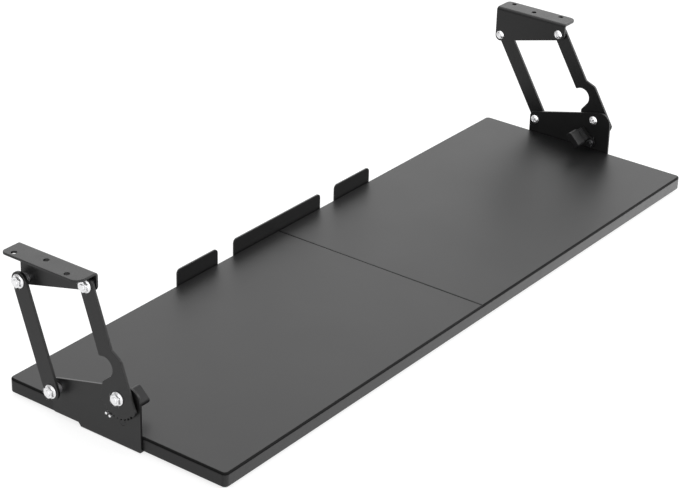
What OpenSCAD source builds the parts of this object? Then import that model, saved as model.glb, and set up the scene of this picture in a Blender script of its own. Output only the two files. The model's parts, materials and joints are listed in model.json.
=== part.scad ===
// Keyboard tray that hangs under a desk on two parallel-link swing arms.
// X runs along the tray, +Y points to the back and +Z up. The origin is the
// middle of the space that the object takes, on the surface that it stands on.

/* [Tray boards] */
// Length of the two boards together
tray_w = 800; // [600:10:1000]
// Depth of the tray from front to back
tray_d = 262; // [240:2:320]
// Thickness of the boards
board_t = 15; // [12:1:20]
// Radius of the outer corners seen from above
corner_r = 5; // [4:1:20]
// Radius of the board's edges
edge_r = 1.6; // [1:0.2:3]
// Gap between the two boards
seam_gap = 0.4; // [0.2:0.1:1]
// Diameter of the dowels in the seam
dowel_d = 8; // [6:1:8]
// Length of the dowels in the seam
dowel_len = 40; // [30:2:50]

/* [Sheet metal] */
// Thickness of the brackets
plate_t = 2.5; // [2:0.5:3]
// Thickness of the swing links
link_t = 3; // [2.5:0.5:3.5]
// Inner radius of the bends
bend_r = 1.5; // [1:0.5:2]
// Thickness of the rear stop plate
stop_t = 2; // [1.5:0.5:2.5]

/* [Swing arms] */
// Front lower pivot behind the tray's front edge
pivot_y = 118; // [112:1:126]
// Front lower pivot above the tray's top
pivot_z = 35; // [33:1:40]
// Distance between the two lower pivots, front to back
pivot_dy = 78; // [76:1:84]
// How much lower the rear pivot lies than the front one
pivot_drop = 20; // [18:1:22]
// Length of the links between pivots
arm_len = 107; // [105:1:130]
// Backward lean of the left links as drawn
lean_left = 19; // [7:12:31]
// Backward lean of the right links as drawn
lean_right = 31; // [7:12:31]
// Width of the rear links
rear_link_w = 18; // [15:0.5:18]
// Width of the upper part of the front links
front_link_w = 17; // [14:0.5:18]

/* [Pivot bolts] */
// Radius of the bolts' shanks
bolt_r = 3; // [2.5:0.5:3.5]
// Radius of the domed heads on the inner side
head_r = 5.2; // [4.8:0.1:5.5]
// Height of the domed heads
head_t = 3; // [2.6:0.2:3.6]
// Radius of the nuts' flanges
nut_flange_r = 6.8; // [6:0.1:7]
// Width of the nuts across flats
nut_flats = 10; // [9:0.5:11]
// Height of the nuts
nut_t = 4.2; // [3.6:0.2:5]

/* [Height lock] */
// Tip radius of the notched end of the front links
sector_r = 22; // [21:0.5:23]
// Angle between notches
notch_pitch = 12; // [12:1:12]
// Radius of the lock pins
lock_pin_r = 1.3; // [1.1:0.1:1.4]
// Angle that the lever turns from clear to locked
lever_throw = 11; // [10:1:12]
// How far the finger grip reaches in over the tray
grip_reach = 33; // [26:1:34]

/* [Desk brackets] */
// Width of the flange that is screwed to the desk
flange_w = 26; // [24:1:34]
// Height of the flange's top above the front upper pivot
flange_rise = 13.5; // [13:0.5:18]
// Diameter of the desk screw holes
desk_hole_d = 5.5; // [4:0.5:6]
// Distance between neighbouring desk screw holes, front to back
desk_hole_pitch = 32; // [28:1:34]

/* [Rear stop] */
// Height of the stops above the tray's top
stop_h = 17; // [12:1:25]
// Length of the middle stop
stop_mid_w = 146; // [120:2:160]
// Length of each side stop
stop_side_w = 63; // [50:1:70]
// Gap between the stops
stop_gap = 26; // [20:1:30]
// Depth of the plate under the boards
stop_plate_d = 74; // [60:2:84]

/* [Front joining plate] */
// Length of the plate along the tray
join_w = 130; // [100:2:160]
// Depth of the plate from front to back
join_d = 46; // [40:1:60]
// Distance from the tray's front edge
join_y = 22; // [16:1:30]

/* [Hidden] */
$fn = 48;
run_gap = 0.2;
bore_gap = 0.08;
seat_gap = 0.05;
lock_gap = 0.5;

board_in = tray_w / 2;
plate_in = board_in;
plate_out = plate_in + plate_t;
washer_t = 1.8;
washer_r = 6;
spacer_r = 5;
front_link_in = plate_out + washer_t + run_gap;
front_link_out = front_link_in + link_t;
link_space = 1.4;
rear_link_in = front_link_out + link_space;
rear_link_out = rear_link_in + link_t;
spacer_t = rear_link_in - run_gap - plate_out;

front_low = [pivot_y, pivot_z];
rear_low = [pivot_y + pivot_dy, pivot_z - pivot_drop];
pin_slope = atan2(pivot_drop, pivot_dy);
along_pins = [cos(pin_slope), -sin(pin_slope)];
above_pins = [sin(pin_slope), cos(pin_slope)];

base_top_off = 9.4;
base_front_off = 22;
base_rear_off = 7;
base_front_y = pivot_y - base_front_off;
base_rear_y = rear_low[0] + base_rear_off;
base_front_r = 13;
base_rear_r = 7;
base_foot_r = 2;
base_under_set = 2;
base_under_d = 72;
base_under_w = 36;
base_foot_rise = 2.3;
bolt_end = 0.8;
recess_depth = 1.9;
recess_len = 6;
recess_w = 1.4;
nut_flange_t = 0.8;
nut_cone_t = 1.7;
nut_chamfer = 0.8;
desk_under_off = 7;
desk_front_off = 8.5;
desk_rear_off = 6.5;
desk_corner_r = [6.5, 6];
flange_corner_r = [9, 5];
desk_hole_rear = 11;
desk_hole_side = 6;
desk_hole_mid_side = 13.5;
under_corner_r = 6;

screw_r = 1.9;
screw_head_r = 3.8;
screw_len = 13;
screw_sink = 0.2;
screw_tip = 3;
screw_tip_r = 0.3;
screw_rim = 0.25;
screw_socket = 0.8;
screw_hole_gap = 0.3;
stop_screw_x = [30, 24];
stop_screw_y = [18, 16];
join_screw_in = [14, 10];
base_screw_x = [16, 9];
base_screw_y = 12;

lock_angle = [24, 24 + notch_pitch];
notch_r = lock_pin_r + lock_gap;
notch_n = 10;
lock_ring_r = sector_r - 0.4;
lever_pivot = front_low + [-0.5, -26.5];
lever_over = 3;
lever_plate_t = 2;
lever_gap = 0.5;
lever_pin_r = 2.5;
lever_eye_r = 5.2;
lever_far_r = 4.4;
tab_set = 3;
// The ramp that the finger presses, as a line in (y, z) from near the pivot up and back
ramp_low = lever_pivot + [1.3, 6.6];
ramp_high = lever_pivot + [11.5, 16.3];
ramp_dir = (ramp_high - ramp_low) / norm(ramp_high - ramp_low);
ramp_out = [-ramp_dir[1], ramp_dir[0]];
ramp_half = norm(ramp_high - ramp_low) / 2;
ramp_mid = (ramp_low + ramp_high) / 2;
grip_t = 3;
grip_full_share = 0.45;
rib_n = 3;
rib_t = 1.2;
spring_wire_r = 0.45;
spring_mean_r = lever_pin_r + spring_wire_r + 0.35;
spring_pitch = 2 * spring_wire_r + 0.45;
spring_turns = 2;
lever_out = lever_gap;
lever_in = lever_gap + lever_plate_t;
spring_start = lever_in + spring_wire_r + 0.2;
spring_end = spring_start + spring_turns * spring_pitch;
lever_head_in = spring_end + spring_wire_r + 0.2;
lever_head_r = 3.3;
lever_head_t = 1.6;
lever_head_edge = 0.6;
rivet_flare_t = 1.2;
rivet_flare_r = lever_pin_r + 0.9;
rivet_end_sink = 0.1;

stop_corner_r = 5;
stop_front_r = 6;
join_corner_r = 5;
stop_total_w = stop_mid_w + 2 * (stop_gap + stop_side_w);
under_z = -board_t - plate_t;
lean_max = 43;
y_back = max(tray_d + stop_t, rear_low[0] + arm_len * sin(max(lean_left, lean_right)) + desk_rear_off);
y_mid = y_back / 2;
z_lift = -under_z;

// Points on a circle about c from angle a0 to a1.
function arc(c, r, a0, a1, n = 8) =
    [for (i = [0:n]) c + r * [cos(a0 + (a1 - a0) * i / n), sin(a0 + (a1 - a0) * i / n)]];

// The outline with each corner p = [x, y, radius] rounded.
function rounded(ps, n = 6) = [for (i = [0:len(ps) - 1])
    let (
        p = [ps[i][0], ps[i][1]],
        q = ps[(i + len(ps) - 1) % len(ps)],
        s = ps[(i + 1) % len(ps)],
        a = [q[0], q[1]] - p,
        b = [s[0], s[1]] - p,
        ua = a / norm(a),
        ub = b / norm(b),
        half = acos(max(-1, min(1, ua * ub))) / 2,
        r = ps[i][2],
        cut = r / tan(half),
        middle = (ua + ub) / norm(ua + ub),
        c = p + middle * r / sin(half),
        t0 = p + ua * cut - c,
        t1 = p + ub * cut - c,
        a0 = atan2(t0[1], t0[0]),
        turn = (atan2(t1[1], t1[0]) - a0 + 540) % 360 - 180
    )
    each (r <= 0 ? [p] : arc(c, r, a0, a0 + turn, n))];

function unit(v) = v / norm(v);

// Moves from the tray's own zero (front edge, top face) to the object's origin.
module placed() {
    translate([0, -y_mid, z_lift]) children();
}

// A side's parts are drawn for the right side and mirrored for the left.
module on_side(side) {
    if (side < 0)
        placed() mirror([1, 0, 0]) children();
    else
        placed() children();
}

// A flat outline given in (y, z), as thick as x0 to x1.
module sheet_yz(x0, x1) {
    translate([x0, 0, 0]) rotate([90, 0, 90]) linear_extrude(x1 - x0) children();
}

// A cylinder along X at p = [y, z].
module along_x(p, r, x0, x1) {
    translate([x0, p[0], p[1]]) rotate([0, 90, 0]) cylinder(r = r, h = x1 - x0);
}

// One board with all its edges eased. The inner end is square.
module board_blank() {
    x0 = seam_gap / 2;
    hull() {
        for (y = [0, 1])
            translate([board_in - corner_r, y == 0 ? corner_r : tray_d - corner_r, -board_t / 2])
                eased_corner(corner_r);
        for (y = [0, 1])
            translate([x0 + edge_r, y == 0 ? edge_r : tray_d - edge_r, -board_t / 2])
                eased_corner(edge_r);
    }
}

module eased_corner(r) {
    rotate_extrude($fn = 32)
        polygon([[0, -board_t / 2],
            [r - edge_r, -board_t / 2],
            [r - 0.3 * edge_r, -board_t / 2 + 0.3 * edge_r],
            [r, -board_t / 2 + edge_r],
            [r, board_t / 2 - edge_r],
            [r - 0.3 * edge_r, board_t / 2 - 0.3 * edge_r],
            [r - edge_r, board_t / 2],
            [0, board_t / 2]]);
}

module board(side) {
    color("#3a3a3c") on_side(side) difference() {
        board_blank();
        for (p = board_screws()) screw_pilot(p);
        for (y = dowel_ys()) along_x([y, -board_t / 2], dowel_d / 2 + seat_gap, -1, dowel_len / 2 + 0.3);
    }
}

function dowel_ys() = [tray_d * 0.28, tray_d * 0.62];

module seam_dowels() {
    color("burlywood") placed()
        for (y = dowel_ys()) along_x([y, -board_t / 2], dowel_d / 2, -dowel_len / 2, dowel_len / 2);
}

// Screw places as [x, y] on the right half.
function stop_screws() =
    [for (x = [stop_screw_x[0], stop_total_w / 2 - stop_screw_x[1]])
        for (y = [stop_screw_y[0], stop_plate_d - stop_screw_y[1]]) [x, tray_d - y]];
function join_screws() =
    [for (y = [join_screw_in[1], join_d - join_screw_in[1]]) [join_w / 2 - join_screw_in[0], join_y + y]];
function base_screws() =
    [for (x = [base_screw_x[0], base_under_w - base_screw_x[1]], y = [base_screw_y, base_under_d - base_screw_y])
        [board_in - x, base_front_y + y]];
function board_screws() = concat(stop_screws(), join_screws(), base_screws());

module screw_pilot(p) {
    translate([p[0], p[1], -board_t - 1]) cylinder(r = screw_r + seat_gap, h = 1 + screw_len - plate_t + 1);
}

// A countersunk hole in a plate whose lower face is at z0.
module screw_hole(p, z0, t) {
    translate([p[0], p[1], z0 - 1]) cylinder(r = screw_r + screw_hole_gap, h = t + 2);
    translate([p[0], p[1], z0 - 0.01])
        cylinder(r1 = screw_head_r + 0.1, r2 = screw_r + screw_hole_gap, h = screw_head_r - screw_r + 0.2);
}

// A flat-headed wood screw, driven up from below.
module wood_screw(p, z0) {
    translate([p[0], p[1], z0 + screw_sink]) rotate_extrude()
        polygon([[0, screw_socket], [screw_socket, screw_socket], [screw_socket, 0],
            [screw_head_r - screw_rim, 0], [screw_head_r - screw_rim, screw_rim],
            [screw_r, screw_head_r - screw_r],
            [screw_r, screw_len - screw_tip], [screw_tip_r, screw_len], [0, screw_len]]);
}

module screws(list, z0, both) {
    color("#2c2c2e") placed()
        for (p = list, s = both ? [-1, 1] : [1]) wood_screw([s * p[0], p[1]], z0);
}

// The plate under the seam, with three stops turned up behind the boards.
module rear_stop_plate() {
    z0 = -board_t - stop_t;
    w = stop_total_w / 2;
    color("#202022") placed() difference() {
        union() {
            translate([0, 0, z0]) linear_extrude(stop_t)
                polygon(rounded([[-w, tray_d - stop_plate_d, stop_front_r], [w, tray_d - stop_plate_d, stop_front_r],
                    [w, tray_d, 0], [-w, tray_d, 0]]));
            for (t = stop_places()) stop_tab(t[0], t[1] - t[0]);
        }
        for (p = stop_screws(), s = [-1, 1]) screw_hole([s * p[0], p[1]], z0, stop_t);
    }
}

// Each stop as [left end, right end].
function stop_places() = [[-stop_total_w / 2, -stop_total_w / 2 + stop_side_w],
    [-stop_mid_w / 2, stop_mid_w / 2],
    [stop_total_w / 2 - stop_side_w, stop_total_w / 2]];

// A stop from xa, w long, with its bend and the strip of the plate that it is bent up from.
module stop_tab(xa, w) {
    h = board_t + stop_h;
    translate([xa, tray_d, -board_t]) {
        rotate([90, 0, 0]) translate([0, 0, -stop_t]) linear_extrude(stop_t)
            polygon(rounded([[0, 0, 0], [w, 0, 0], [w, h, stop_corner_r], [0, h, stop_corner_r]]));
        intersection() {
            rotate([0, 90, 0]) cylinder(r = stop_t, h = w);
            translate([0, 0, -stop_t]) cube([w, stop_t, stop_t]);
        }
        translate([0, -stop_t, -stop_t]) cube([w, stop_t, stop_t]);
    }
}

module front_joining_plate() {
    z0 = -board_t - stop_t;
    color("#202022") placed() difference() {
        translate([0, 0, z0]) linear_extrude(stop_t)
            polygon(rounded([for (q = [[-1, 0], [1, 0], [1, 1], [-1, 1]])
                [q[0] * join_w / 2, join_y + q[1] * join_d, join_corner_r]]));
        for (p = join_screws(), s = [-1, 1]) screw_hole([s * p[0], p[1]], z0, stop_t);
    }
}

// Outline of the base bracket's upright plate in (y, z).
function base_outline() =
    let (
        top_at = front_low + base_top_off * above_pins,
        z_front = top_at[1] + (pivot_y - base_front_y + base_top_off * above_pins[0]) * tan(pin_slope),
        z_rear = top_at[1] - (base_rear_y - top_at[0]) * tan(pin_slope),
        foot_y = base_front_y + base_under_set + base_under_d,
        foot_z = -board_t + base_foot_rise
    )
    rounded([[base_front_y, -board_t, 0], [foot_y, -board_t, 0],
        [foot_y + base_foot_rise, foot_z, 0], [base_rear_y, foot_z, base_foot_r],
        [base_rear_y, z_rear, base_rear_r], [base_front_y, z_front, base_front_r]]);

// Points in (y, z) round the window that the lock pins pass through.
function lock_window() =
    let (
        reach = [for (i = [0, 1]) norm(lock_point(i, 0) - lever_pivot)],
        beside = [for (d = reach) asin(notch_r / d)],
        a0 = min([for (i = [0, 1]) angle_of(lock_point(i, -lever_over) - lever_pivot) - beside[i]]),
        a1 = max([for (i = [0, 1]) angle_of(lock_point(i, lever_throw) - lever_pivot) + beside[i]])
    )
    concat(arc(lever_pivot, reach[0] - notch_r, a1, a0, 6), arc(lever_pivot, reach[1] + notch_r, a0, a1, 8));

function angle_of(v) = atan2(v[1], v[0]);

// Place of lock pin i when the lever has turned by a from its drawn place.
function lock_point(i, a) =
    let (
        v = front_low + lock_ring_r * [sin(lock_angle[i]), -cos(lock_angle[i])] - lever_pivot,
        b = a - lever_throw
    )
    lever_pivot + [v[0] * cos(b) - v[1] * sin(b), v[0] * sin(b) + v[1] * cos(b)];

module base_bracket(side) {
    y0 = base_front_y + base_under_set;
    z0 = -board_t;
    color("#1c1c1e") on_side(side) difference() {
        union() {
            sheet_yz(plate_in, plate_out) polygon(base_outline());
            // Bend and flange under the board
            translate([plate_in, y0, z0]) rotate([-90, 0, 0]) intersection() {
                cylinder(r = plate_t, h = base_under_d);
                cube([plate_t, plate_t, base_under_d]);
            }
            translate([0, 0, z0 - plate_t]) linear_extrude(plate_t)
                polygon(rounded([[plate_in, y0, 0], [plate_in, y0 + base_under_d, 0],
                    [board_in - base_under_w, y0 + base_under_d, under_corner_r],
                    [board_in - base_under_w, y0, under_corner_r]]));
        }
        along_x(front_low, bolt_r + seat_gap, plate_in - 1, plate_out + 1);
        along_x(rear_low, bolt_r + seat_gap, plate_in - 1, plate_out + 1);
        along_x(lever_pivot, lever_pin_r + seat_gap, plate_in - 1, plate_out + 1);
        // The flare that the lever's rivet fills
        translate([plate_out - rivet_flare_t, lever_pivot[0], lever_pivot[1]]) rotate([0, 90, 0])
            cylinder(r1 = lever_pin_r + seat_gap, r2 = rivet_flare_r + seat_gap, h = rivet_flare_t + 0.01);
        sheet_yz(plate_in - 1, plate_out + 1) polygon(lock_window());
        for (p = base_screws()) screw_hole(p, z0 - plate_t, plate_t);
    }
}

// A pivot bolt along X: a domed head with a cross recess inside, and a shank that ends past its nut.
module pivot_bolt(side, p, nut_x) {
    shank_len = nut_x + nut_t + bolt_end - plate_in;
    dome_r = (head_r * head_r + head_t * head_t) / (2 * head_t);
    dome_a = asin(head_r / dome_r);
    color("#d8d8da") on_side(side) difference() {
        translate([plate_in, p[0], p[1]]) rotate([0, 90, 0]) rotate_extrude()
            polygon(concat([for (i = [0:8]) let (a = dome_a * i / 8)
                    [dome_r * sin(a), dome_r - head_t - dome_r * cos(a)]],
                [[bolt_r, 0], [bolt_r, shank_len - bolt_end / 2], [bolt_r - bolt_end / 2, shank_len],
                [0, shank_len]]));
        for (a = [45, 135])
            translate([plate_in - head_t + recess_depth / 2 - 0.5, p[0], p[1]]) rotate([a, 0, 0])
                cube([recess_depth + 1, recess_len, recess_w], center = true);
    }
}

// A nut with a flange, from nut_x outwards.
module flange_nut(side, p, nut_x) {
    hex_r = nut_flats / 2 / cos(30);
    color("#d0d0d2") on_side(side) difference() {
        union() {
            translate([nut_x, p[0], p[1]]) rotate([0, 90, 0]) rotate_extrude()
                polygon([[0, 0], [nut_flange_r, 0], [nut_flange_r, nut_flange_t],
                    [nut_flats / 2, nut_cone_t], [0, nut_cone_t]]);
            translate([nut_x, p[0], p[1]]) rotate([0, 90, 0]) intersection() {
                cylinder(r = hex_r, h = nut_t, $fn = 6);
                rotate_extrude()
                    polygon([[0, 0], [hex_r, 0], [hex_r, nut_t - nut_chamfer], [nut_flats / 2, nut_t], [0, nut_t]]);
            }
        }
        along_x(p, bolt_r + seat_gap, nut_x - 1, nut_x + nut_t + 1);
    }
}

// A round ring on a bolt, against the plate.
module ring(side, p, r, t) {
    color("#b8b8ba") on_side(side) difference() {
        along_x(p, r, plate_out, plate_out + t);
        along_x(p, bolt_r + seat_gap, plate_out - 1, plate_out + t + 1);
    }
}

// Upper pivots of a side whose links lean back by lean.
function raised(p, lean) = p + arm_len * [sin(lean), cos(lean)];

// Turns link coordinates (u back, v up the link) to (y, z) at the lower pivot p.
function leaned(p, lean, pts) =
    [for (q = pts) p + [q[0] * cos(lean) + q[1] * sin(lean), -q[0] * sin(lean) + q[1] * cos(lean)]];

module rear_link(side, lean) {
    w = rear_link_w / 2;
    color("#242426") on_side(side) difference() {
        sheet_yz(rear_link_in, rear_link_out) polygon(leaned(rear_low, lean,
            concat(arc([0, 0], w, 180, 360, 14), arc([0, arm_len], w, 0, 180, 14))));
        along_x(rear_low, bolt_r + bore_gap, rear_link_in - 1, rear_link_out + 1);
        along_x(raised(rear_low, lean), bolt_r + bore_gap, rear_link_in - 1, rear_link_out + 1);
    }
}

// Outline of a front link: a strip above, a hook-shaped relief, and a notched round end.
function front_link_outline() =
    let (
        w = front_link_w / 2,
        hook_c = [6.5, arm_len - 76.8],
        hook_r = 10.5,
        wide = 16.5,
        end_a = -90 - asin(wide / sector_r),
        nose = [13, 16.6]
    )
    concat(
        arc([0, arm_len], w, 0, 180, 14),
        arc([-w - 4, 47], 4, 0, -32, 3),
        arc([-wide + 7, 33], 7, 148, 180, 4),
        arc([0, 0], sector_r, end_a + 360, 365, 40),
        [nose + [2.2, -3.4], nose],
        arc(hook_c, hook_r, 242, 90, 16),
        arc([w - 1.4, hook_c[1] + hook_r + 1.4], 1.4, -90, 0, 4)
    );

module front_link(side, lean) {
    color("#242426") on_side(side) difference() {
        sheet_yz(front_link_in, front_link_out)
            polygon(leaned(front_low, lean, front_link_outline()));
        along_x(front_low, bolt_r + bore_gap, front_link_in - 1, front_link_out + 1);
        along_x(raised(front_low, lean), bolt_r + bore_gap, front_link_in - 1, front_link_out + 1);
        for (k = [0:notch_n - 1]) {
            a = lock_angle[1] + lean_max - notch_pitch * k - lean;
            along_x(front_low + lock_ring_r * [sin(a), -cos(a)], notch_r, front_link_in - 1, front_link_out + 1);
        }
    }
}

// Outline of a desk bracket's upright plate in (y, z).
function desk_outline(lean) =
    let (
        f = raised(front_low, lean),
        r = raised(rear_low, lean),
        z1 = f[1] + flange_rise - plate_t - bend_r,
        low = f - desk_under_off * above_pins,
        y0 = f[0] - desk_front_off,
        y1 = r[0] + desk_rear_off,
        at = function (y) low[1] - (y - low[0]) * tan(pin_slope)
    )
    rounded([[y0, at(y0), desk_corner_r[0]], [y1, at(y1), desk_corner_r[1]], [y1, z1, 0], [y0, z1, 0]]);

module desk_bracket(side, lean) {
    f = raised(front_low, lean);
    r = raised(rear_low, lean);
    y0 = f[0] - desk_front_off;
    y1 = r[0] + desk_rear_off;
    z1 = f[1] + flange_rise;
    x1 = plate_in + flange_w;
    color("#1c1c1e") on_side(side) difference() {
        union() {
            sheet_yz(plate_in, plate_out) polygon(desk_outline(lean));
            translate([plate_out + bend_r, y0, z1 - plate_t - bend_r]) rotate([-90, 0, 0])
                intersection() {
                    difference() {
                        cylinder(r = plate_t + bend_r, h = y1 - y0);
                        translate([0, 0, -1]) cylinder(r = bend_r, h = y1 - y0 + 2);
                    }
                    translate([-plate_t - bend_r, -plate_t - bend_r, 0])
                        cube([plate_t + bend_r, plate_t + bend_r, y1 - y0]);
                }
            translate([0, 0, z1 - plate_t]) linear_extrude(plate_t)
                polygon(rounded([[plate_out + bend_r, y0, 0], [x1, y0, flange_corner_r[0]],
                    [x1, y1, flange_corner_r[1]], [plate_out + bend_r, y1, 0]]));
        }
        along_x(f, bolt_r + seat_gap, plate_in - 1, plate_out + 1);
        along_x(r, bolt_r + seat_gap, plate_in - 1, plate_out + 1);
        for (h = desk_holes(lean))
            translate([h[0], h[1], z1 - plate_t - 1]) cylinder(d = desk_hole_d, h = plate_t + 2);
    }
}

// Desk screw holes as [x, y]: the middle one lies nearer the bend.
function desk_holes(lean) =
    let (y = raised(rear_low, lean)[0] + desk_rear_off - desk_hole_rear)
    [for (k = [0:2])
        [plate_in + flange_w - (k == 1 ? desk_hole_mid_side : desk_hole_side), y - k * desk_hole_pitch]];

module lever(side) {
    color("#1c1c1e") on_side(side) difference() {
        union() {
            sheet_yz(plate_in - lever_in, plate_in - lever_out) polygon(lever_outline());
            sheet_yz(plate_in - grip_reach + tab_set, plate_in - lever_out)
                polygon([ramp_low, ramp_low - lever_plate_t * ramp_out,
                    ramp_high - lever_plate_t * ramp_out, ramp_high]);
        }
        along_x(lever_pivot, lever_pin_r + bore_gap, plate_in - lever_in - 1, plate_in);
        for (i = [0, 1])
            along_x(lock_point(i, 0), lock_pin_r + 0.02, plate_in - lever_in - 1, plate_in);
    }
}

// Outline of the lever's upright plate in (y, z): round the pivot, round the pins, up to the ramp.
function lever_outline() =
    concat(
        arc(lever_pivot, lever_eye_r, 140, 300, 10),
        arc(lock_point(1, 0), lever_far_r, -62, 60, 8),
        [ramp_high - lever_plate_t * ramp_out, ramp_high, ramp_low]
    );

// The moulded grip on the ramp: a full, rounded end and a ribbed part.
module lever_grip(side) {
    x0 = plate_in - grip_reach;
    x1 = x0 + grip_full_share * grip_reach;
    rib_end = plate_in - lever_head_in - lever_head_t - 0.8;
    rib_pitch = (rib_end - x1) / rib_n;
    slot = ramp_half + seat_gap;
    color("#161617") on_side(side) difference() {
        union() {
            sheet_yz(x0, x1) polygon(ramp_box(ramp_half + 2.4, -5, grip_t, 3.2));
            sheet_yz(x1, rib_end) polygon(ramp_box(ramp_half + 1, -3.8, grip_t - 1.8, 1.4));
            for (k = [0:rib_n - 1])
                sheet_yz(x1 + rib_pitch * (k + 0.5), x1 + rib_pitch * (k + 0.5) + rib_t)
                    polygon(ramp_box(ramp_half + 1, -1, grip_t - 0.6, 1));
        }
        // The slot that the steel tab fills
        sheet_yz(x0 + tab_set - seat_gap, plate_in) polygon([for (q = [[-slot, seat_gap], [slot, seat_gap],
            [slot, -lever_plate_t - seat_gap], [-slot, -lever_plate_t - seat_gap]])
            ramp_mid + ramp_dir * q[0] + ramp_out * q[1]]);
    }
}

// A rounded box across the ramp: half its length along the ramp, from below to above it.
function ramp_box(half, low, high, r) =
    [for (q = rounded([[-half, low, r], [half, low, r], [half, high, r], [-half, high, r]], 4))
        ramp_mid + ramp_dir * q[0] + ramp_out * q[1]];

module lock_pins(side) {
    color("#c8c8ca") on_side(side) for (i = [0, 1]) {
        along_x(lock_point(i, 0), lock_pin_r, plate_in - lever_in, front_link_out + 0.6);
        along_x(lock_point(i, 0), lock_pin_r + 0.5, plate_in - lever_in - 0.8, plate_in - lever_in);
    }
}

// The lever's rivet: its head is inside, and its outer end fills the flare in the bracket.
module lever_rivet(side) {
    head_in = -lever_head_in - lever_head_t;
    end = plate_t - rivet_end_sink;
    color("#242426") on_side(side) translate([plate_in, lever_pivot[0], lever_pivot[1]])
        rotate([0, 90, 0]) rotate_extrude()
            polygon([[0, head_in], [lever_head_r - lever_head_edge, head_in],
                [lever_head_r, head_in + lever_head_edge], [lever_head_r, -lever_head_in],
                [lever_pin_r, -lever_head_in], [lever_pin_r, plate_t - rivet_flare_t],
                [rivet_flare_r - rivet_end_sink, end], [0, end]]);
}

// The torsion spring's centreline: a leg up the bracket, the turns, and a leg down from the last one.
function spring_line() =
    let (
        steps = 12,
        start_a = 200,
        coil = [for (i = [0:steps * spring_turns])
            [-spring_start - spring_pitch * i / steps,
                lever_pivot[0] + spring_mean_r * cos(start_a - 360 * i / steps),
                lever_pivot[1] + spring_mean_r * sin(start_a - 360 * i / steps)]],
        first = coil[0],
        last = coil[len(coil) - 1]
    )
    concat(
        [first + [0, -0.7, 9], first + [0, -0.35, 4], first + [0, -0.1, 1.4]],
        coil,
        [last + [-0.1, 0.1, -1.4], last + [-0.2, 1.2, -3.4]]
    );

// A round wire swept along a list of points.
function wire_points(line, r, sides) =
    [for (i = [0:len(line) - 1])
        let (
            before = line[max(0, i - 1)],
            after = line[min(len(line) - 1, i + 1)],
            t = unit(after - before),
            side = abs(t[0]) < 0.9 ? [1, 0, 0] : [0, 1, 0],
            e1 = unit(cross(t, side)),
            e2 = cross(t, e1)
        )
        for (k = [0:sides - 1]) line[i] + r * (e1 * cos(360 * k / sides) + e2 * sin(360 * k / sides))];

function wire_faces(n, sides) = concat(
    [[for (k = [0:sides - 1]) k]],
    [for (i = [0:n - 2], k = [0:sides - 1])
        [i * sides + k, (i + 1) * sides + k, (i + 1) * sides + (k + 1) % sides, i * sides + (k + 1) % sides]],
    [[for (k = [sides - 1:-1:0]) (n - 1) * sides + k]]);

module lever_spring(side) {
    line = spring_line();
    color("#9a9a9c") on_side(side) translate([plate_in, 0, 0])
        polyhedron(wire_points(line, spring_wire_r, 8), wire_faces(len(line), 8), convexity = 8);
}

module side_parts(name, side, lean) {
    f = raised(front_low, lean);
    r = raised(rear_low, lean);
    front_x = front_link_out + run_gap;
    rear_x = rear_link_out + run_gap;
    base_bracket(side);
    screws([for (p = base_screws()) [side * p[0], p[1]]], under_z, false);
    pivot_bolt(side, front_low, front_x);
    flange_nut(side, front_low, front_x);
    pivot_bolt(side, rear_low, rear_x);
    flange_nut(side, rear_low, rear_x);
    ring(side, front_low, washer_r, washer_t);
    ring(side, rear_low, spacer_r, spacer_t);
    front_link(side, lean);
    rear_link(side, lean);
    desk_bracket(side, lean);
    pivot_bolt(side, f, front_x);
    flange_nut(side, f, front_x);
    pivot_bolt(side, r, rear_x);
    flange_nut(side, r, rear_x);
    ring(side, f, washer_r, washer_t);
    ring(side, r, spacer_r, spacer_t);
    lever(side);
    lever_grip(side);
    lock_pins(side);
    lever_rivet(side);
    lever_spring(side);
}

board(-1);  // left_board
board(1);  // right_board
seam_dowels();
rear_stop_plate();
screws(stop_screws(), -board_t - stop_t, true);  // stop_plate_screws
front_joining_plate();
screws(join_screws(), -board_t - stop_t, true);  // joining_plate_screws
side_parts("left", -1, lean_left);
side_parts("right", 1, lean_right);
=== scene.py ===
"""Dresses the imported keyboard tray: laminate boards, coated sheet metal, plated bolts and moulded grips."""

import json
import math

import bmesh
import bpy
from mathutils import Matrix, Vector

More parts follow.
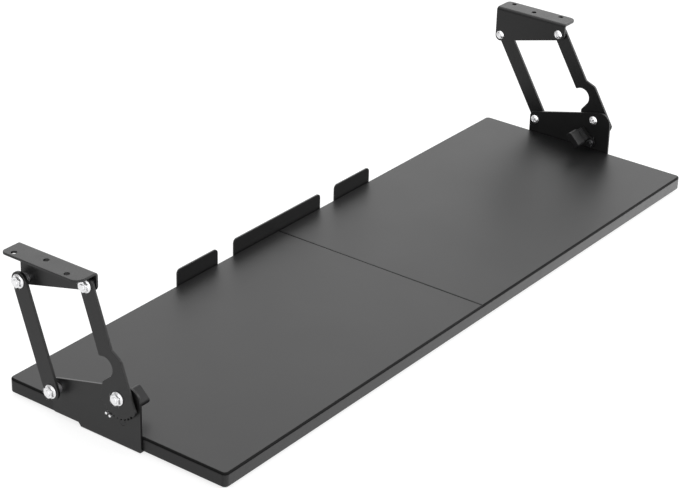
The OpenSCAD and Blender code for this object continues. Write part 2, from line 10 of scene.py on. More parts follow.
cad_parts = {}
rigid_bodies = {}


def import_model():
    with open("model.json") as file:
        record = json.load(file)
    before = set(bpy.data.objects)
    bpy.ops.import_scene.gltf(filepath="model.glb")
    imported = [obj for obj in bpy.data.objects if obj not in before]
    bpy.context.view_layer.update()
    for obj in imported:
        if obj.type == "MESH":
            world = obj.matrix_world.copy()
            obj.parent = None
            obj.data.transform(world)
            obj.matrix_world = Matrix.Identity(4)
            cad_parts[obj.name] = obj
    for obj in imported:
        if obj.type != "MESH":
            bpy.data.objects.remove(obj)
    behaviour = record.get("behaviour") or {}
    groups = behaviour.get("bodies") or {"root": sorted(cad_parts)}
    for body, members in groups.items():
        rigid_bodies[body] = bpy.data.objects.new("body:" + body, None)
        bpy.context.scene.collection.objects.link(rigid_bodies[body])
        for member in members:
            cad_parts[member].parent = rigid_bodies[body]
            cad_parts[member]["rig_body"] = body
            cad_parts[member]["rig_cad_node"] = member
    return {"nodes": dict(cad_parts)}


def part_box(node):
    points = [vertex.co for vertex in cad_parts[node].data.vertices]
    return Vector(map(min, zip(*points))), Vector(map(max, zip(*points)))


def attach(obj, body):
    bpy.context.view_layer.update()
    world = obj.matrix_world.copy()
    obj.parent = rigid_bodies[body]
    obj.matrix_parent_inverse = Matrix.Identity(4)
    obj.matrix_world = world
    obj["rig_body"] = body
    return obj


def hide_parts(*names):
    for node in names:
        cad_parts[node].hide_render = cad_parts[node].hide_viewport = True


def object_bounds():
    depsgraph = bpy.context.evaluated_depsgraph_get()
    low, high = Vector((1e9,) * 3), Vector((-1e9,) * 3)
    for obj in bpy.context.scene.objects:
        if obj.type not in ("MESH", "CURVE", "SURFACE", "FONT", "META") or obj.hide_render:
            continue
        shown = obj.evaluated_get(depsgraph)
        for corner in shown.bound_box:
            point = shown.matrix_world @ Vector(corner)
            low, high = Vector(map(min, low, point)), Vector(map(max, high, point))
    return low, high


bl_info = {
    "name": "Under-desk keyboard tray",
    "version": (1, 0, 0),
    "blender": (4, 5, 0),
    "location": "3D view > Sidebar > Tray",
    "description": "Models and finishes an under-desk keyboard tray around its fixed CAD parts",
    "category": "Object",
}

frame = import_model()
NODES = frame["nodes"]
CAD_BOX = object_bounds()

# The sides, with the way that each one's outer face looks along X
SIDES = {"left": -1, "right": 1}

# The right board's box, and with it the level of the tray's top and its front edge
BOARD_LOW, BOARD_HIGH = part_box("right_board")
TOP_Z = BOARD_HIGH.z
FRONT_Y = BOARD_LOW.y

# The photograph's camera, fitted in metres from the middle of the front edge's top
VIEW_AZIMUTH = math.radians(-53.466)
VIEW_ELEVATION = math.radians(26.709)
VIEW_ROLL = math.radians(1.514)
VIEW_DISTANCE = 2.2675
VIEW_TARGET = Vector((0.01634, FRONT_Y + 0.19257, TOP_Z))
IMAGE_WIDTH = 679
FOCAL_PIXELS = 2159.1
SENSOR = 36.0

# Light from the room at the horizon and overhead, and how white the floor is by itself and with its glow
SIDE_LIGHT = 0.25
TOP_LIGHT = 1.2
FLOOR_TONE = 0.35
FLOOR_GLOW = 0.8

# The floor's width, and how far it lies below the tray to keep clear of it
FLOOR_SIZE = 30
FLOOR_DROP = 0.0005

# The room as surfaces mirror it: the way to its two backdrops, which face each other, how bright it is beside
# them, towards them and above, and where the backdrops and the ceiling fade in, as cosines
BACKDROP_WAY = (0.8, 0.6, 0)
MIRROR_BESIDE = 0.2
MIRROR_BACKDROP = 2.1
MIRROR_ABOVE = 1.8
BACKDROP_FADE = (0.35, 0.8)
CEILING_FADE = (0.5, 0.9)

# Painted reflection: glow of the floor that only reflections see, standing in for a lit floor as the tray
# mirrors it: in front at its left and right ends, and beside it
POOL_LEFT = 1.28
POOL_RIGHT = 2.72
POOL_SIDE = 0.72

# The soft box at the right front: its place in metres, its width and height, and its power in watts
BOX_PLACE = (2.0, -1.4, 1.25)
BOX_WIDTH = 1.6
BOX_HEIGHT = 1.0
BOX_POWER = 30

# Points nearer than this are merged, and bends flatter than this are dissolved
MIN_MERGE = 1e-5
FLAT_ANGLE = math.radians(0.6)

# Bends that are steeper than this stay sharp, first on all pieces but the springs, then on the springs' wire
SHARP_ANGLE = math.radians(32)
WIRE_ANGLE = math.radians(60)

# Upright faces have a normal with less height than this, and level ones with more than that
UPRIGHT = 0.2
LEVEL = 0.99

# Facets across the boards' outer corners, across their eased edges and across the grips' edges
CORNER_FACETS = 12
EDGE_FACETS = 3
GRIP_FACETS = 3

# Places of the edge banding and the bare eased edge among a board's materials, after the laminate
BANDING_SLOT = 1
BARE_SLOT = 2

# Depth of the marks that turning and drawing leave, in metres
MARK_DEPTH = 6e-6

# The thread on a bolt's free end: its turns, then in pitches how far in the first one lies, and how deep
THREAD_TURNS = 2
THREAD_START = 1.2
THREAD_DEPTH = 0.45


class TraySizes(bpy.types.PropertyGroup):
    """Sizes of the details that the looks add."""

    corner_radius: bpy.props.FloatProperty(
        name="Board corner", description="Radius of the boards' outer corners", default=0.005, unit="LENGTH"
    )
    board_edge: bpy.props.FloatProperty(
        name="Board edge", description="Width of the eased edge round a board", default=0.0016, unit="LENGTH"
    )
    band_joint: bpy.props.FloatProperty(
        name="Band joint", description="Height of the joint between laminate and banding", default=0.0007,
        unit="LENGTH"
    )
    seam: bpy.props.FloatProperty(
        name="Seam", description="Gap between the two boards", default=0.0, unit="LENGTH"
    )
    metal_edge: bpy.props.FloatProperty(
        name="Metal edge", description="Radius of the deburred sheet edges", default=0.0004, unit="LENGTH"
    )
    lever_edge: bpy.props.FloatProperty(
        name="Lever edge", description="Radius of the levers' tumbled edges", default=0.0006, unit="LENGTH"
    )
    bolt_radius: bpy.props.FloatProperty(
        name="Bolt radius", description="Radius of the pivot bolts' shanks", default=0.003, unit="LENGTH"
    )
    bolt_edge: bpy.props.FloatProperty(
        name="Bolt edge", description="Radius of the edges on bolts and nuts", default=0.00018, unit="LENGTH"
    )
    thread_pitch: bpy.props.FloatProperty(
        name="Thread pitch", description="Pitch of the bolts' threads", default=0.00045, unit="LENGTH"
    )
    grip_edge: bpy.props.FloatProperty(
        name="Grip edge", description="Radius of the moulded grips' edges", default=0.0005, unit="LENGTH"
    )


class TrayFinishes(bpy.types.PropertyGroup):
    """Colours and gloss of the tray's finishes."""

    laminate: bpy.props.FloatVectorProperty(
        name="Laminate", description="Colour of the boards' faces", subtype="COLOR", size=3,
        default=(0.007, 0.007, 0.0072)
    )
    banding: bpy.props.FloatVectorProperty(
        name="Edge banding", description="Colour of the boards' edges", subtype="COLOR", size=3,
        default=(0.02, 0.02, 0.0205)
    )
    joint: bpy.props.FloatVectorProperty(
        name="Bare edge", description="Colour of the eased edge between laminate and edge banding",
        subtype="COLOR", size=3, default=(0.003, 0.003, 0.003)
    )
    powder: bpy.props.FloatVectorProperty(
        name="Powder coat", description="Colour of the coated sheet metal", subtype="COLOR", size=3,
        default=(0.007, 0.007, 0.0072)
    )
    plating: bpy.props.FloatVectorProperty(
        name="Plating", description="Colour of the plated bolts, nuts and pins", subtype="COLOR", size=3,
        default=(0.93, 0.93, 0.94)
    )
    zinc: bpy.props.FloatVectorProperty(
        name="Zinc", description="Colour of the washers and spacers", subtype="COLOR", size=3,
        default=(0.7, 0.7, 0.72)
    )
    wire: bpy.props.FloatVectorProperty(
        name="Spring wire", description="Colour of the lever springs", subtype="COLOR", size=3,
        default=(0.12, 0.12, 0.125)
    )
    grip: bpy.props.FloatVectorProperty(
        name="Grip", description="Colour of the moulded grips", subtype="COLOR", size=3,
        default=(0.008, 0.008, 0.0085)
    )
    dowel: bpy.props.FloatVectorProperty(
        name="Dowel", description="Colour of the seam dowels", subtype="COLOR", size=3,
        default=(0.5, 0.34, 0.19)
    )
    blackened: bpy.props.FloatVectorProperty(
        name="Screws", description="Colour of the blackened wood screws", subtype="COLOR", size=3,
        default=(0.014, 0.014, 0.015)
    )
    laminate_roughness: bpy.props.FloatProperty(
        name="Laminate roughness", description="How dull the boards' faces are", default=0.43, min=0, max=1
    )
    powder_roughness: bpy.props.FloatProperty(
        name="Powder roughness", description="How dull the coated metal is", default=0.42, min=0, max=1
    )


def sizes():
    """The sizes set in the panel."""
    return bpy.context.scene.tray_sizes


def finishes():
    """The finishes set in the panel."""
    return bpy.context.scene.tray_finishes


# Selecting and editing


def focus(piece):
    """Selects one piece and makes it active."""
    if bpy.context.object is not None and bpy.context.object.mode != "OBJECT":
        bpy.ops.object.mode_set(mode="OBJECT")
    bpy.ops.object.select_all(action="DESELECT")
    piece.select_set(True)
    bpy.context.view_layer.objects.active = piece


def open_mesh(piece, kind="FACE"):
    """Enters edit mode with nothing selected."""
    focus(piece)
    bpy.ops.object.mode_set(mode="EDIT")
    bpy.ops.mesh.select_mode(type=kind)
    bpy.ops.mesh.select_all(action="DESELECT")


def close_mesh():
    bpy.ops.object.mode_set(mode="OBJECT")


def pick(piece, kind, test):
    """Selects the faces or edges that pass the test, and nothing else."""
    bpy.ops.mesh.select_all(action="DESELECT")
    mesh = bmesh.from_edit_mesh(piece.data)
    for part in getattr(mesh, kind):
        if test(part):
            part.select_set(True)
    bmesh.update_edit_mesh(piece.data)


def settle(piece):
    """Puts the piece's place, turn and size into its mesh."""
    focus(piece)
    bpy.ops.object.transform_apply(location=True, rotation=True, scale=True)


def apply_modifier(piece, kind, **values):
    """Puts a modifier with these values on the piece and applies it."""
    focus(piece)
    modifier = piece.modifiers.new(kind.title(), kind)
    for key, value in values.items():
        setattr(modifier, key, value)
    bpy.ops.object.modifier_apply(modifier=modifier.name)


def round_edges(piece, width, segments=2):
    """Rounds the sharp edges."""
    apply_modifier(
        piece, "BEVEL", width=width, segments=segments, limit_method="ANGLE", angle_limit=SHARP_ANGLE,
        use_clamp_overlap=False,
    )


def smooth(piece, angle=SHARP_ANGLE):
    """Smooths shallow angles and lets the large faces stay flat."""
    focus(piece)
    bpy.ops.object.shade_smooth_by_angle(angle=angle)
    apply_modifier(piece, "WEIGHTED_NORMAL", weight=100, keep_sharp=True)


def hand_over(piece, name, materials, node):
    """Names the piece, gives it its finish and lets it stand for its CAD node."""
    piece.name = name
    piece.data.name = name
    piece.data.materials.clear()
    for material in materials:
        piece.data.materials.append(material)
    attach(piece, NODES[node]["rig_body"])
    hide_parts(node)
    return piece


def merged_copy(node):
    """A copy of a CAD node whose loose triangles are merged into whole faces."""
    focus(NODES[node])
    bpy.ops.object.duplicate()
    piece = bpy.context.object
    piece.parent = None
    del piece["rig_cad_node"]
    open_mesh(piece, "VERT")
    bpy.ops.mesh.select_all(action="SELECT")
    bpy.ops.mesh.remove_doubles(threshold=MIN_MERGE)
    bpy.ops.mesh.dissolve_limited(angle_limit=FLAT_ANGLE)
    close_mesh()
    return piece


def finished_copy(node, name, material, edge, segments=2):
    """The CAD node's shape with its edges rounded."""
    piece = merged_copy(node)
    round_edges(piece, edge, segments)
    smooth(piece)
    return hand_over(piece, name, [material], node)


# Shared surface effects


def new_group(name, inputs, outputs):
    """An empty node group with named sockets, and its two end nodes."""
    group = bpy.data.node_groups.new(name, "ShaderNodeTree")
    for label, kind, value in inputs:
        socket = group.interface.new_socket(name=label, in_out="INPUT", socket_type=kind)
        socket.default_value = value
    for label, kind in outputs:
        group.interface.new_socket(name=label, in_out="OUTPUT", socket_type=kind)
    return group, group.nodes.new("NodeGroupInput"), group.nodes.new("NodeGroupOutput")


def add_node(tree, kind, **inputs):
    """A node whose inputs, named with spaces as underscores, are set or linked."""
    made = tree.nodes.new(kind)
    for key, value in inputs.items():
        socket = made.inputs[key.replace("_", " ")]
        if isinstance(value, bpy.types.NodeSocket):
            tree.links.new(value, socket)
        else:
            socket.default_value = value
    return made


def maths(tree, operation, first, second):
    """The outcome of one sum on two values or sockets."""
    made = tree.nodes.new("ShaderNodeMath")
    made.operation = operation
    for socket, value in zip(made.inputs, (first, second)):
        if isinstance(value, bpy.types.NodeSocket):
            tree.links.new(value, socket)
        else:
            socket.default_value = value
    return made.outputs[0]


def span(tree, value, low, high):
    """Spreads a value from 0 to 1 over low to high."""
    made = add_node(tree, "ShaderNodeMapRange", Value=value, To_Min=low, To_Max=high)
    return made.outputs["Result"]


def mottle_group():
    """Slow and fast unevenness of a surface: a tone near 1, a roughness and a fine height."""
    group, ends_in, ends_out = new_group(
        "Surface unevenness",
        [("Coarse scale", "NodeSocketFloat", 30.0), ("Fine scale", "NodeSocketFloat", 900.0),
         ("Tone spread", "NodeSocketFloat", 0.06), ("Roughness", "NodeSocketFloat", 0.4),
         ("Roughness spread", "NodeSocketFloat", 0.05)],
        [("Tone", "NodeSocketFloat"), ("Roughness", "NodeSocketFloat"), ("Height", "NodeSocketFloat")],
    )
    place = group.nodes.new("ShaderNodeTexCoord").outputs["Object"]
    coarse_scale, fine_scale = ends_in.outputs["Coarse scale"], ends_in.outputs["Fine scale"]
    coarse = add_node(group, "ShaderNodeTexNoise", Vector=place, Scale=coarse_scale, Detail=4.0)
    fine = add_node(group, "ShaderNodeTexNoise", Vector=place, Scale=fine_scale, Detail=2.0)
    centred = maths(group, "SUBTRACT", coarse.outputs["Fac"], 0.5)
    tone = maths(group, "MULTIPLY", centred, ends_in.outputs["Tone spread"])
    group.links.new(maths(group, "ADD", tone, 1.0), ends_out.inputs["Tone"])
    centred_fine = maths(group, "SUBTRACT", fine.outputs["Fac"], 0.5)
    both = maths(group, "ADD", centred, centred_fine)
    uneven = maths(group, "MULTIPLY", both, ends_in.outputs["Roughness spread"])
    group.links.new(maths(group, "ADD", uneven, ends_in.outputs["Roughness"]), ends_out.inputs["Roughness"])
    group.links.new(fine.outputs["Fac"], ends_out.inputs["Height"])
    return group


def streak_group():
    """Fine lines along one way, as turning or drawing leaves on metal."""
    group, ends_in, ends_out = new_group(
        "Tool marks",
        [("Across scale", "NodeSocketFloat", 4000.0), ("Along scale", "NodeSocketFloat", 120.0)],
        [("Height", "NodeSocketFloat")],
    )
    place = group.nodes.new("ShaderNodeTexCoord").outputs["Object"]
    scale = group.nodes.new("ShaderNodeCombineXYZ")
    group.links.new(ends_in.outputs["Across scale"], scale.inputs["X"])
    group.links.new(ends_in.outputs["Along scale"], scale.inputs["Y"])
    group.links.new(ends_in.outputs["Along scale"], scale.inputs["Z"])
    stretch = group.nodes.new("ShaderNodeVectorMath")
    stretch.operation = "MULTIPLY"
    group.links.new(place, stretch.inputs[0])
    group.links.new(scale.outputs["Vector"], stretch.inputs[1])
    noise = add_node(group, "ShaderNodeTexNoise", Vector=stretch.outputs["Vector"], Scale=1.0, Detail=3.0)
    group.links.new(noise.outputs["Fac"], ends_out.inputs["Height"])
    return group


def shared(name, maker):
    """The node group of that name, made once."""
    return bpy.data.node_groups.get(name) or maker()


def place_group(tree, group, **values):
    """Puts a node group into a material, with its inputs set."""
    made = tree.nodes.new("ShaderNodeGroup")
    made.node_tree = group
    for key, value in values.items():
        made.inputs[key.replace("_", " ")].default_value = value
    return made


def new_material(name):
    """A material with its node tree and its surface node."""
    material = bpy.data.materials.new(name)
    material.use_nodes = True
    tree = material.node_tree
    return material, tree, tree.nodes["Principled BSDF"]


def toned(tree, colour, tone):
    """The colour made lighter or darker by a tone near 1."""
    mix = tree.nodes.new("ShaderNodeMix")
    mix.data_type = "RGBA"
    mix.blend_type = "MULTIPLY"
    mix.inputs[0].default_value = 1.0
    mix.inputs[6].default_value = (*colour, 1.0)
    grey = tree.nodes.new("ShaderNodeCombineColor")
    for channel in grey.inputs:
        tree.links.new(tone, channel)
    tree.links.new(grey.outputs[0], mix.inputs[7])
    return mix.outputs[2]


def bumped(tree, height, distance):
    """The surface's way out, made uneven by a height."""
    bump = add_node(tree, "ShaderNodeBump", Height=height, Strength=1.0, Distance=distance)
    return bump.outputs["Normal"]


def uneven_material(name, colour, roughness, coarse, fine, tone_spread, roughness_spread, grain, shine):
    """A finish with soft unevenness in tone, gloss and height. The grain is in metres."""
    found = bpy.data.materials.get(name)
    if found:
        return found
    material, tree, surface = new_material(name)
    mottle = place_group(
        tree, shared("Surface unevenness", mottle_group), Coarse_scale=coarse, Fine_scale=fine,
        Tone_spread=tone_spread, Roughness=roughness, Roughness_spread=roughness_spread,
    )
    tree.links.new(toned(tree, colour, mottle.outputs["Tone"]), surface.inputs["Base Color"])
    tree.links.new(mottle.outputs["Roughness"], surface.inputs["Roughness"])
    tree.links.new(bumped(tree, mottle.outputs["Height"], grain), surface.inputs["Normal"])
    surface.inputs["Specular IOR Level"].default_value = shine
    return material


def laminate_material():
    return uneven_material(
        "Black laminate", finishes().laminate, finishes().laminate_roughness, coarse=14, fine=2600,
        tone_spread=0.08, roughness_spread=0.05, grain=1.2e-5, shine=0.335,
    )


def banding_material():
    return uneven_material(
        "Edge banding", finishes().banding, roughness=0.4, coarse=90, fine=1500, tone_spread=0.22,
        roughness_spread=0.1, grain=3e-5, shine=0.25,
    )


def joint_material():
    return uneven_material(
        "Bare eased edge", finishes().joint, roughness=0.7, coarse=90, fine=1500, tone_spread=0.2,
        roughness_spread=0.1, grain=2e-5, shine=0.15,
    )


def powder_material():
    return uneven_material(
        "Black powder coat", finishes().powder, finishes().powder_roughness, coarse=60, fine=1900,
        tone_spread=0.12, roughness_spread=0.08, grain=2.2e-5, shine=0.41,
    )


def blackened_material():
    return uneven_material(
        "Blackened screw", finishes().blackened, roughness=0.35, coarse=150, fine=2500, tone_spread=0.2,
        roughness_spread=0.1, grain=1e-5, shine=0.35,
    )


def grip_material():
    return uneven_material(
        "Moulded grip", finishes().grip, roughness=0.5, coarse=120, fine=3000, tone_spread=0.15,
        roughness_spread=0.08, grain=2.5e-5, shine=0.3,
    )


def dowel_material():
    return uneven_material(
        "Beech dowel", finishes().dowel, roughness=0.6, coarse=200, fine=1800, tone_spread=0.35,
        roughness_spread=0.1, grain=4e-5, shine=0.5,
    )


def plated_material(name="Bright plating", colour=None, roughness=0.36):
    """Plated steel with faint tool marks."""
    found = bpy.data.materials.get(name)
    if found:
        return found
    material, tree, surface = new_material(name)
    surface.inputs["Metallic"].default_value = 0.8
    marks = place_group(tree, shared("Tool marks", streak_group))
    mottle = place_group(
        tree, shared("Surface unevenness", mottle_group), Coarse_scale=220, Fine_scale=2200,
        Tone_spread=0.16, Roughness=roughness, Roughness_spread=0.12,
    )
    tone = toned(tree, colour or finishes().plating, mottle.outputs["Tone"])
    tree.links.new(tone, surface.inputs["Base Color"])
    tree.links.new(mottle.outputs["Roughness"], surface.inputs["Roughness"])
    tree.links.new(bumped(tree, marks.outputs["Height"], MARK_DEPTH), surface.inputs["Normal"])
    return material


def zinc_material():
    return plated_material("Zinc plating", finishes().zinc, roughness=0.34)


def wire_material():
    return plated_material("Drawn wire", finishes().wire, roughness=0.3)


# Boards


def eased_board(side):
    """A board with rounded outer corners and eased edges, its edge faces banded."""
    node = side + "_board"
    low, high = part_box(node)
    outer_x = high.x if SIDES[side] > 0 else low.x
    seam_x = SIDES[side] * sizes().seam / 2
    low.x, high.x = sorted((outer_x, seam_x))
    bpy.ops.mesh.primitive_cube_add(size=1, location=(low + high) / 2, scale=high - low)
    piece = bpy.context.object
    settle(piece)
    open_mesh(piece, "EDGE")
    pick(piece, "edges", lambda e: all(abs(v.co.x - outer_x) < MIN_MERGE for v in e.verts)
         and abs(e.verts[0].co.z - e.verts[1].co.z) > MIN_MERGE)
    corner, edge, joint = sizes().corner_radius, sizes().board_edge, sizes().band_joint
    bpy.ops.mesh.bevel(offset=corner, segments=CORNER_FACETS, affect="EDGES", clamp_overlap=False)
    pick(piece, "edges", lambda e: all(abs(v.co.z - low.z) < MIN_MERGE for v in e.verts)
         or all(abs(v.co.z - high.z) < MIN_MERGE for v in e.verts))
    bpy.ops.mesh.bevel(offset=edge, segments=EDGE_FACETS, affect="EDGES", clamp_overlap=False)
    bpy.ops.mesh.select_all(action="SELECT")
    bpy.ops.mesh.bisect(plane_co=(0, 0, high.z - edge - joint), plane_no=(0, 0, 1))
    joint_z = high.z - edge - joint / 2
    pick(piece, "faces", lambda f: abs(f.calc_center_median().z - joint_z) < joint / 4)
    bpy.ops.mesh.extrude_region_shrink_fatten(TRANSFORM_OT_shrink_fatten={"value": -joint / 2})
    close_mesh()
    smooth(piece)
    finish = [laminate_material(), banding_material(), joint_material()]
    hand_over(piece, side + "_eased_board", finish, node)
    for face in piece.data.polygons:
        at_top = face.center.z > high.z - edge - joint
        if at_top and face.normal.z < LEVEL and abs(face.center.x - seam_x) > edge:
            face.material_index = BARE_SLOT
        elif abs(face.normal.z) < UPRIGHT:
            face.material_index = BANDING_SLOT


class TRAY_OT_boards(bpy.types.Operator):
    """Models the two laminate boards."""

    bl_idname = "tray.boards"
    bl_label = "Boards"

    def execute(self, context):
        for side in SIDES:
            eased_board(side)
        dowels = NODES["seam_dowels"]
        dowels.data.materials.clear()
        dowels.data.materials.append(dowel_material())
        return {"FINISHED"}


# Sheet metal


class TRAY_OT_rear_stop(bpy.types.Operator):
    """Models the rear stop plate and the front joining plate."""

    bl_idname = "tray.rear_stop"
    bl_label = "Rear stop and joining plate"

    def execute(self, context):
        edge = sizes().metal_edge
        finished_copy("rear_stop_plate", "folded_rear_stop", powder_material(), edge)
        finished_copy("front_joining_plate", "flat_joining_plate", powder_material(), edge)
        return {"FINISHED"}


class TRAY_OT_brackets(bpy.types.Operator):
    """Models the base brackets and the desk brackets."""

    bl_idname = "tray.brackets"
    bl_label = "Brackets"

    def execute(self, context):
        for side in SIDES:
            for kind in ("base_bracket", "desk_bracket"):
                node = f"{side}_{kind}"
                finished_copy(node, "folded_" + node, powder_material(), sizes().metal_edge)
        return {"FINISHED"}


class TRAY_OT_links(bpy.types.Operator):
    """Models the swing links."""

    bl_idname = "tray.links"
    bl_label = "Swing links"

    def execute(self, context):
        for side in SIDES:
            for kind in ("front_link", "rear_link"):
                node = f"{side}_{kind}"
                finished_copy(node, "stamped_" + node, powder_material(), sizes().metal_edge)
        return {"FINISHED"}


# Bolts, nuts and washers


def threaded_end(piece, side, x_tip, centre):
    """Adds turns of thread on the bolt's free end, as rings stacked a pitch apart."""
    pitch, radius = sizes().thread_pitch, sizes().bolt_radius
    rings = []
    for turn in range(THREAD_TURNS):
        x_ring = x_tip - SIDES[side] * (pitch * (turn + THREAD_START))
        bpy.ops.mesh.primitive_torus_add(
            location=(x_ring, centre.y, centre.z), rotation=(0, math.pi / 2, 0), major_segments=32,
            minor_segments=6, major_radius=radius - pitch * THREAD_DEPTH, minor_radius=pitch / 2,
        )
        ring = bpy.context.object
        settle(ring)
        rings.append(ring)
    focus(piece)
    for ring in rings:
        ring.select_set(True)
    bpy.context.view_layer.objects.active = piece
    bpy.ops.object.join()


class TRAY_OT_bolts(bpy.types.Operator):
    """Models the pivot bolts, nuts, spacers and washers."""

    bl_idname = "tray.bolts"
    bl_label = "Pivot bolts and nuts"

    def execute(self, context):
        edge = sizes().bolt_edge
        for side in SIDES:
            for place in ("front_lower", "rear_lower", "front_upper", "rear_upper"):
                bolt, nut = f"{side}_{place}_bolt", f"{side}_{place}_nut"
                low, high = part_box(bolt)
                piece = finished_copy(bolt, "domed_" + bolt, plated_material(), edge)
                tip = high.x if SIDES[side] > 0 else low.x
                threaded_end(piece, side, tip, (low + high) / 2)
                finished_copy(nut, "hex_" + nut, plated_material(), edge)
                ring = f"{side}_{place}_" + ("washer" if place.startswith("front") else "spacer")
                finished_copy(ring, "turned_" + ring, zinc_material(), edge / 2)
        return {"FINISHED"}


class TRAY_OT_screws(bpy.types.Operator):
    """Finishes the wood screws under the tray."""

    bl_idname = "tray.screws"
    bl_label = "Wood screws"

    def execute(self, context):
        for place in ("stop_plate", "joining_plate", "left_bracket", "right_bracket"):
            node = place + "_screws"
            finished_copy(node, "turned_" + node, blackened_material(), sizes().bolt_edge)
        return {"FINISHED"}


# Height lock


class TRAY_OT_levers(bpy.types.Operator):
    """Models the release levers, their grips, pins, rivets and springs."""

    bl_idname = "tray.levers"
    bl_label = "Release levers"

    def execute(self, context):
        for side in SIDES:
            lever, pins, rivet = side + "_lever", side + "_lock_pins", side + "_lever_rivet"
            grip, spring = side + "_lever_grip", side + "_lever_spring"
            finished_copy(lever, "stamped_" + lever, powder_material(), sizes().lever_edge)
            finished_copy(
                grip, side + "_ribbed_grip", grip_material(), sizes().grip_edge, GRIP_FACETS
            )
            finished_copy(pins, "turned_" + pins, plated_material(), sizes().bolt_edge)
            finished_copy(rivet, "turned_" + rivet, blackened_material(), sizes().bolt_edge)
            coil = merged_copy(spring)
            smooth(coil, WIRE_ANGLE)
            hand_over(coil, side + "_wound_spring", [wire_material()], spring)
        return {"FINISHED"}


# Stage


def aim(item, target):
    """Turns a lamp towards a point."""
    way = Vector(target) - item.location
    item.rotation_euler = way.to_track_quat("-Z", "Y").to_euler()


def soft_box():
    """The lamp at the right front, turned to the middle of the tray's top."""
    data = bpy.data.lights.new("Right front", "AREA")
    data.shape = "RECTANGLE"
    data.size = BOX_WIDTH
    data.size_y = BOX_HEIGHT
    data.energy = BOX_POWER
    lamp = bpy.data.objects.new("Right front", data)
    bpy.context.scene.collection.objects.link(lamp)
    lamp.location = BOX_PLACE
    aim(lamp, (0, 0, TOP_Z))


def seen_by(tree, *rays):
    """1 for the named kinds of ray, such as camera, and 0 for all others."""
    path = tree.nodes.new("ShaderNodeLightPath")
    seen = path.outputs[f"Is {rays[0]} Ray"]
    for ray in rays[1:]:
        seen = maths(tree, "MAXIMUM", seen, path.outputs[f"Is {ray} Ray"])
    return seen


def white_world():
    """A white room to the eye. Surfaces mirror its backdrops, and as light it is strongest overhead."""
    world = bpy.data.worlds.new("White room")
    bpy.context.scene.world = world
    world.use_nodes = True
    tree = world.node_tree
    way = tree.nodes.new("ShaderNodeTexCoord").outputs["Generated"]
    height = add_node(tree, "ShaderNodeSeparateXYZ", Vector=way).outputs["Z"]
    light = span(tree, height, SIDE_LIGHT, TOP_LIGHT)
    towards = tree.nodes.new("ShaderNodeVectorMath")
    towards.operation = "DOT_PRODUCT"
    tree.links.new(way, towards.inputs[0])
    towards.inputs[1].default_value = BACKDROP_WAY
    towards = maths(tree, "ABSOLUTE", towards.outputs["Value"], 0)
    backdrop = add_node(
        tree, "ShaderNodeMapRange", Value=towards, From_Min=BACKDROP_FADE[0], From_Max=BACKDROP_FADE[1],
        To_Min=MIRROR_BESIDE, To_Max=MIRROR_BACKDROP,
    )
    above = add_node(
        tree, "ShaderNodeMapRange", Value=height, From_Min=CEILING_FADE[0], From_Max=CEILING_FADE[1],
        To_Max=MIRROR_ABOVE,
    )
    mirrored = maths(tree, "MAXIMUM", backdrop.outputs["Result"], above.outputs["Result"])
    strength = span(tree, seen_by(tree, "Glossy"), light, mirrored)
    strength = span(tree, seen_by(tree, "Camera", "Transmission"), strength, 1.0)
    tree.nodes["Background"].inputs["Color"].default_value = (1, 1, 1, 1)
    tree.links.new(strength, tree.nodes["Background"].inputs["Strength"])


def pale_floor():
    """A wide white floor that keeps the tray's soft shadow, with a painted glow that only reflections see,
    brighter in front towards the right.
    """
    bpy.ops.mesh.primitive_plane_add(size=FLOOR_SIZE, location=(0, 0, CAD_BOX[0].z - FLOOR_DROP))
    floor = bpy.context.object
    floor.name = "floor"
    material, tree, surface = new_material("White floor")
    surface.inputs["Base Color"].default_value = (*[FLOOR_TONE] * 3, 1)
    surface.inputs["Roughness"].default_value = 0.9
    surface.inputs["Specular IOR Level"].default_value = 0
    surface.inputs["Emission Color"].default_value = (1, 1, 1, 1)
    to_eye = maths(tree, "MULTIPLY", seen_by(tree, "Camera", "Transmission"), FLOOR_GLOW)
    place = tree.nodes.new("ShaderNodeNewGeometry").outputs["Position"]
    place = add_node(tree, "ShaderNodeSeparateXYZ", Vector=place)
    in_front = maths(tree, "LESS_THAN", place.outputs["Y"], FRONT_Y)
    # Painted reflection: a glow seen only by glossy rays, brighter in front of the tray towards its right
    # end, standing in for a lit floor
    pool = add_node(
        tree, "ShaderNodeMapRange", Value=place.outputs["X"], From_Min=CAD_BOX[0].x, From_Max=CAD_BOX[1].x,
        To_Min=POOL_LEFT, To_Max=POOL_RIGHT,
    )
    pool = maths(tree, "MULTIPLY", pool.outputs["Result"], in_front)
    pool = maths(tree, "MAXIMUM", pool, POOL_SIDE)
    mirrored = maths(tree, "MULTIPLY", pool, seen_by(tree, "Glossy"))
    tree.links.new(maths(tree, "ADD", to_eye, mirrored), surface.inputs["Emission Strength"])
    floor.data.materials.append(material)


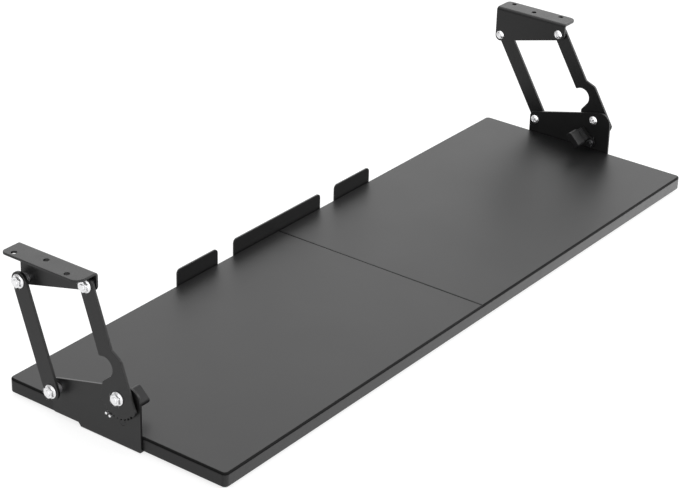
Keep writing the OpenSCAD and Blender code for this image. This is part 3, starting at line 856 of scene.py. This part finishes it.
def photo_camera():
    """The photograph's viewpoint, with its roll."""
    azimuth, elevation = VIEW_AZIMUTH, VIEW_ELEVATION
    back = Vector((
        math.sin(azimuth) * math.cos(elevation), -math.cos(azimuth) * math.cos(elevation), math.sin(elevation)
    ))
    right = (-back).cross(Vector((0, 0, 1))).normalized()
    up = right.cross(-back)
    rolled_right = right * math.cos(VIEW_ROLL) + up * math.sin(VIEW_ROLL)
    rolled_up = up * math.cos(VIEW_ROLL) - right * math.sin(VIEW_ROLL)
    data = bpy.data.cameras.new("Camera")
    data.sensor_width = SENSOR
    data.lens = FOCAL_PIXELS / IMAGE_WIDTH * SENSOR
    camera = bpy.data.objects.new("Camera", data)
    bpy.context.scene.collection.objects.link(camera)
    camera.rotation_mode = "QUATERNION"
    camera.rotation_quaternion = Matrix((rolled_right, rolled_up, back)).transposed().to_quaternion()
    camera.location = VIEW_TARGET + back * VIEW_DISTANCE
    bpy.context.scene.camera = camera


class TRAY_OT_stage(bpy.types.Operator):
    """Sets up the floor, the light and the camera."""

    bl_idname = "tray.stage"
    bl_label = "Stage"

    def execute(self, context):
        bpy.context.scene.view_settings.view_transform = "Standard"
        white_world()
        pale_floor()
        soft_box()
        photo_camera()
        return {"FINISHED"}


STEPS = (
    TRAY_OT_boards, TRAY_OT_rear_stop, TRAY_OT_brackets, TRAY_OT_links, TRAY_OT_bolts, TRAY_OT_screws,
    TRAY_OT_levers, TRAY_OT_stage,
)


class TRAY_PT_panel(bpy.types.Panel):
    """Lists the steps that make the tray."""

    bl_label = "Keyboard tray"
    bl_idname = "TRAY_PT_panel"
    bl_space_type = "VIEW_3D"
    bl_region_type = "UI"
    bl_category = "Tray"

    def draw(self, context):
        for step in STEPS:
            self.layout.operator(step.bl_idname)
        for group in (context.scene.tray_sizes, context.scene.tray_finishes):
            box = self.layout.box()
            for key in group.__annotations__:
                box.prop(group, key)


CLASSES = (TraySizes, TrayFinishes, *STEPS, TRAY_PT_panel)


def register():
    for kind in CLASSES:
        bpy.utils.register_class(kind)
    bpy.types.Scene.tray_sizes = bpy.props.PointerProperty(type=TraySizes)
    bpy.types.Scene.tray_finishes = bpy.props.PointerProperty(type=TrayFinishes)


def unregister():
    del bpy.types.Scene.tray_finishes
    del bpy.types.Scene.tray_sizes
    for kind in reversed(CLASSES):
        bpy.utils.unregister_class(kind)


def main():
    register()
    for step in STEPS:
        group, name = step.bl_idname.split(".")
        getattr(getattr(bpy.ops, group), name)()


if __name__ == "__main__":
    main()
